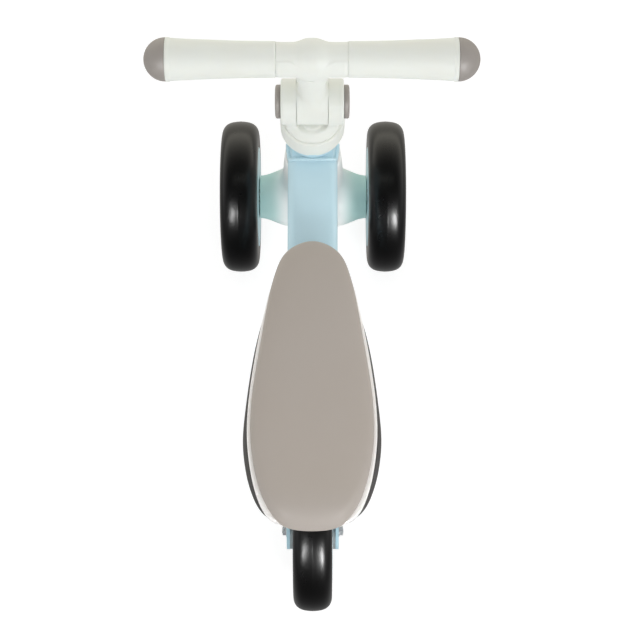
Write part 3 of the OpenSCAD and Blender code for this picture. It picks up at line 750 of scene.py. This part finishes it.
# -------------------------------------------------------------------- saddle
MID_X = -76.0
RIM = [(58.6, 0), (57, 9.4), (50.4, 20.8), (40.6, 28), (26.6, 33.9), (12, 38.3), (-6, 42.2), (-25, 46.1), (-50, 50.5),
       (-85, 55), (-118, 56.3), (-145, 53.7), (-165, 49.6), (-180, 44.4), (-190, 39), (-196.3, 31.2), (-198.8, 16), (-199.2, 0)]
PAD = [(61.4, 0), (59.4, 9.6), (52.2, 21.4), (42.2, 28.5), (27, 33.5), (12, 37.2), (-6, 40.4), (-25, 43.4), (-50, 47.4),
       (-85, 52.2), (-118, 53.3), (-145, 50.4), (-165, 45.6), (-180, 39.9), (-191.5, 32.8), (-200.2, 25.2), (-203.6, 13), (-204.3, 0)]
SHELL = [(50, 0), (47, 9.5), (40, 18.5), (30, 26.5), (17, 33.5), (3, 39.3), (-12, 44.6), (-29, 48.9), (-52, 53.2),
         (-86, 57.6), (-120, 60.2), (-148, 57.3), (-167, 52.2), (-180, 46.5), (-188, 40), (-192.3, 32), (-193.8, 16), (-194.3, 0)]


def outline(p, k):
    w = np.array(p + [(x, -y) for x, y in p[-2:0:-1]], float)
    n, out = len(w), []
    for i in range(n):
        a, b, c, d = w[i - 1], w[i], w[(i + 1) % n], w[(i + 2) % n]
        for j in range(k):
            t = j / k
            out.append(
                0.5 * (2 * b + (c - a) * t + (2 * a - 5 * b + 4 * c - d) * t * t + (3 * b - a - 3 * c + d) * t**3)
            )
    return np.array(out)


def edge_z(x):
    return 239 + 8 * np.maximum(0, (-60 - x) / 140) ** 1.5 - 6.5 * np.maximum(0, (x + 20) / 78) ** 2


def even(pts, n):
    """The closed outline resampled to n evenly spaced points, lightly faired."""
    p = np.vstack([pts, pts[:1]])
    s = np.concatenate([[0], np.cumsum(np.linalg.norm(np.diff(p, axis=0), axis=1))])
    t = np.linspace(0, s[-1], n, endpoint=False)
    q = np.stack([np.interp(t, s, p[:, i]) for i in (0, 1)], 1)
    for _ in range(10):
        q = q + 0.5 * ((np.roll(q, 1, 0) + np.roll(q, -1, 0)) / 2 - q)
    return q


def ring(pts, f, h):
    x = MID_X + (pts[:, 0] - MID_X) * f
    return np.stack([x, pts[:, 1] * f, edge_z(x) + h], 1)


def loft(name, rings, cap):
    m, n = len(rings), len(rings[0])
    v = np.vstack(rings)
    faces = []
    for i in range(m if not cap else m - 1):
        i2 = (i + 1) % m
        for j in range(n):
            j2 = (j + 1) % n
            faces.append((i * n + j, i * n + j2, i2 * n + j2, i2 * n + j))
    if cap:
        for first in (0, (m - 1) * n):
            v = np.vstack([v, v[first : first + n].mean(0)])
            faces += [(first + j, first + (j + 1) % n, len(v) - 1) for j in range(n)]
    return mesh_of(name, v, faces)


def pad_ring(pts, f, h):
    """The pad's rings rise into a crest across its back, before it rolls down to the tail."""
    x = MID_X + (pts[:, 0] - MID_X) * f
    crest = 4.2 * np.exp(-(((x + 184) / np.where(x < -184, 15.0, 24.0)) ** 2)) * step((h - 4.0) / 9.0)
    return np.stack([x, pts[:, 1] * f, edge_z(x) + h + crest], 1)


rim_line = even(outline(RIM, 8), 260)
pad_line = even(outline(PAD, 8), 260)
pad_prof = spline([(0.984, 1.15), (0.998, 2.4), (1.0, 4.2), (0.996, 6.2), (0.984, 8.3), (0.962, 10.4), (0.935, 12.1),
                   (0.9, 13.4), (0.85, 14.5), (0.78, 15.5), (0.68, 16.4), (0.54, 17.1), (0.38, 17.6),
                   (0.22, 17.85), (0.08, 17.95), (0.01, 17.97)], 4)
rings = [ring(rim_line, 0.915, -3), ring(rim_line, 0.92, -0.6), ring(rim_line, 0.925, 0.5)]
rings += [pad_ring(pad_line, f, h) for f, h in pad_prof]
pad = put("saddle_pad_skin", loft("saddle_pad_skin", rings, True), "saddle", "saddle_skin", ["saddle_pad"])


def in_mm(fh, rad, n=4):
    """A closed section in (scale, height), with its corners rounded in about true size."""
    return [(a / 54.0, b) for a, b in fillet([(f * 54.0, h) for f, h in fh], rad, n)]


rim_sec = in_mm([(0.988, -7.5), (1, -5.8), (1, -1.4), (0.988, 0), (0.937, 0), (0.93, -3.4), (0.87, -3.4), (0.87, -7.5)],
                [0.5, 0.8, 1.2, 0.7, 0.4, 0.4, 0.3, 0.3])
put("saddle_rim_band", loft("saddle_rim_band", [ring(rim_line, f, h) for f, h in rim_sec], False),
    "saddle", "white_plastic", ["saddle_rim"])

shell_line = even(outline(SHELL, 8), 240)
shell_out = spline([(0.55, -33), (0.66, -32.3), (0.75, -31), (0.83, -29.2), (0.89, -26.8), (0.94, -23.8), (0.975, -20),
                    (0.995, -16.4), (1.0, -13.2), (0.99, -10.9), (0.972, -9.0), (0.958, -8.0)], 3)
shell_in = [(0.95, -7.8), (0.91, -7.8), (0.903, -8.2), (0.915, -11), (0.92, -14), (0.915, -17), (0.90, -20), (0.86, -22.8),
            (0.80, -25), (0.70, -26.6), (0.5, -28)]
rings = [ring(shell_line, f, h) for f, h in [*shell_out, *shell_in]]
flat = 207.2
for r in rings:
    near = (np.abs(r[:, 0] - SEAT_X) < 60.5) & (np.abs(r[:, 1]) < 40)
    r[near, 2] = np.maximum(r[near, 2], flat)
put("saddle_shell_tray", loft("saddle_shell_tray", rings, True), "saddle", "charcoal_plastic", ["saddle_shell"])

# ---------------------------------------------------------------- weld beads
SLOPE = math.radians(7.5)
TUBE_Z = 166.25 + (STEER_X + 86) * math.tan(SLOPE)
AXIS = np.array([-math.cos(SLOPE), 0, -math.sin(SLOPE)])
OVER = np.array([-math.sin(SLOPE), 0, math.cos(SLOPE)])
rng = np.random.default_rng(7)


def bead(name, path, r, closed=True, pitch=2.3):
    """A weld bead along a path, with the overlapping ripples of its puddles."""
    p = np.array(path, float)
    if closed:
        p = np.vstack([p, p[:1]])
    s = np.concatenate([[0], np.cumsum(np.linalg.norm(np.diff(p, axis=0), axis=1))])
    m = max(24, int(s[-1] / 0.55))
    t = np.linspace(0, s[-1], m, endpoint=not closed)
    c = np.stack([np.interp(t, s, p[:, i]) for i in range(3)], 1)
    if closed:
        tan = np.roll(c, -1, 0) - np.roll(c, 1, 0)
    else:
        tan = np.gradient(c, axis=0)
    tan /= np.linalg.norm(tan, axis=1)[:, None]
    side = np.cross(tan, np.array([0.13, 0.21, 0.97]))
    side /= np.linalg.norm(side, axis=1)[:, None]
    upv = np.cross(side, tan)
    wobble = np.convolve(rng.normal(0, 1, m + 20), np.ones(21) / 21, "valid")[:m]
    phase = (t / pitch + 0.35 * wobble) % 1.0
    rad = r * (1 + 0.10 * (1 - (2 * phase - 1) ** 2) - 0.05 + 0.10 * wobble)
    if not closed:
        rad = rad * np.sqrt(np.clip(np.minimum(t, s[-1] - t) / (1.4 * r), 0.02, 1))
    k = 14
    a = np.linspace(0, 2 * math.pi, k, endpoint=False)
    v = c[:, None] + rad[:, None, None] * (
        np.cos(a)[None, :, None] * side[:, None] + np.sin(a)[None, :, None] * upv[:, None]
    )
    faces = []
    for i in range(m if closed else m - 1):
        i2 = (i + 1) % m
        for j in range(k):
            j2 = (j + 1) % k
            faces.append((i * k + j, i * k + j2, i2 * k + j2, i2 * k + j))
    if not closed:
        faces += [tuple(range(k)), tuple(range((m - 1) * k, m * k))]
    return put(name, mesh_of(name, v.reshape(-1, 3), faces), "frame", "frame_paint")


def section(n=28):
    """The main tube's rounded section as (y, height over its axis)."""
    out = fillet([(23, 15), (-23, 15), (-23, -15), (23, -15)], 9.0, 10)
    q = np.vstack([out, out[:1]])
    s = np.concatenate([[0], np.cumsum(np.linalg.norm(np.diff(q, axis=0), axis=1))])
    t = np.linspace(0, s[-1], 140, endpoint=False)
    return np.stack([np.interp(t, s, q[:, i]) for i in (0, 1)], 1)


head_path = []
for y, w in section():
    reach = math.sqrt(max(23.9**2 - y * y, 0)) + 0.5
    u = (reach - math.sin(SLOPE) * w) / math.cos(SLOPE)
    top = float(step((w - 7.0) / 5.0))  # straight across the doubler on top
    u += (max(u, 22.6) - u) * top
    head_path.append(np.array([STEER_X, 0, TUBE_Z]) + AXIS * u + OVER * (w * 1.02 + 0.35 * top) + np.array([0, y, 0]))
bead("weld_head_tube", head_path, 2.0, pitch=2.6)
seat_path = []
for i in range(90):
    a = 2 * math.pi * i / 90
    x, y = SEAT_X + 17.2 * math.cos(a), 17.2 * math.sin(a)
    seat_path.append((x, y, TUBE_Z + 15 / math.cos(SLOPE) - (STEER_X - x) * math.tan(SLOPE)))
bead("weld_seat_tube", seat_path, 1.9)
for side in (1, -1):
    nm = "left" if side > 0 else "right"
    lo_line = [(x, side * 23.3, TUBE_Z - (STEER_X - x) * math.tan(SLOPE) + 9.5) for x in np.linspace(-80, -34, 24)]
    bead("weld_plate_" + nm, lo_line, 1.3, False, 2.0)

# ------------------------------------------------------------------- staging
floor_me = bpy.data.meshes.new("floor")
floor_me.from_pydata([(-6, -6, 0), (6, -6, 0), (6, 6, 0), (-6, 6, 0)], [], [(0, 1, 2, 3)])
floor = bpy.data.objects.new("floor", floor_me)
bpy.context.scene.collection.objects.link(floor)
fm = Mat("floor_paper", (0.34, 0.34, 0.34, 1), 0.8, Specular_IOR_Level=0.1)
fm.tint(1.5, 0.006)
fm.bump(fm.noise(300, 2.0), 0.02, 0.0003)
fm.p.inputs["Emission Color"].default_value = (1, 1, 1, 1)
fm.p.inputs["Emission Strength"].default_value = 0.80
floor_me.materials.append(fm.m)
floor.visible_glossy = False


def soft_light(name, direction, dist, w, h, power, col=(1, 1, 1), aim=(0.0, 0, 0.12)):
    d = bpy.data.lights.new(name, "AREA")
    d.shape, d.size, d.size_y, d.energy, d.color = "RECTANGLE", w, h, power, col
    o = bpy.data.objects.new(name, d)
    bpy.context.scene.collection.objects.link(o)
    v = Vector(direction).normalized()
    o.location = Vector(aim) + v * dist
    o.rotation_euler = (-v).to_track_quat("-Z", "Y").to_euler()
    return o


for name, direction, dist, w, h, power in (
    ("box_left", (-0.69, 0.33, 0.64), 1.9, 0.70, 0.45, 5),
    ("box_right", (-0.76, -0.41, 0.51), 1.9, 0.70, 0.45, 12),
    ("fill_back", (-0.95, 0.0, 0.30), 2.4, 2.4, 1.2, 6),
    ("overhead", (-0.04, 0.0, 1.0), 2.6, 2.2, 2.2, 27),
):
    soft_light(name, direction, dist, w, h, power).visible_glossy = False
for name, direction, power in (("glint_left", (-0.69, 0.37, 0.64), 20), ("glint_right", (-0.76, -0.44, 0.51), 38)):
    soft_light(name, direction, 1.9, 0.26, 0.60, power).visible_diffuse = False

world = bpy.data.worlds.new("studio")
bpy.context.scene.world = world
world.use_nodes = True
wt = world.node_tree
bg = wt.nodes["Background"]
tc = wt.nodes.new("ShaderNodeTexCoord")
sep = wt.nodes.new("ShaderNodeSeparateXYZ")
wt.links.new(tc.outputs["Generated"], sep.inputs[0])
factors = []
for axis, a, b, lo_v, hi_v in (("X", -1, 1, 0.03, 1.72), ("Z", 0.12, 0.85, 1.15, 0.05), ("Z", -0.08, 0.0, 0.35, 1.0)):
    mr = wt.nodes.new("ShaderNodeMapRange")
    for k, v in (("From Min", a), ("From Max", b), ("To Min", lo_v), ("To Max", hi_v)):
        mr.inputs[k].default_value = v
    wt.links.new(sep.outputs[axis], mr.inputs["Value"])
    factors.append(mr.outputs["Result"])
product = factors[0]
for other in factors[1:]:
    mul = wt.nodes.new("ShaderNodeMath")
    mul.operation = "MULTIPLY"
    wt.links.new(product, mul.inputs[0])
    wt.links.new(other, mul.inputs[1])
    product = mul.outputs[0]
wt.links.new(product, bg.inputs["Strength"])
warm = wt.nodes.new("ShaderNodeMapRange")  # the room ahead of the bike is a little warmer
for k, v in (("From Min", 0.0), ("From Max", 0.9), ("To Min", 0.0), ("To Max", 1.0)):
    warm.inputs[k].default_value = v
wt.links.new(sep.outputs["X"], warm.inputs["Value"])
tone = wt.nodes.new("ShaderNodeMix")
tone.data_type = "RGBA"
for sock in tone.inputs:
    if sock.type == "RGBA" and sock.name == "A":
        sock.default_value = (1, 1, 1, 1)
    if sock.type == "RGBA" and sock.name == "B":
        sock.default_value = (1.04, 1.0, 0.88, 1)
wt.links.new(warm.outputs["Result"], tone.inputs["Factor"])
wt.links.new([o for o in tone.outputs if o.type == "RGBA"][0], bg.inputs["Color"])

vs = bpy.context.scene.view_settings
vs.view_transform, vs.look, vs.exposure, vs.gamma = "Standard", "None", 0.0, 1.0
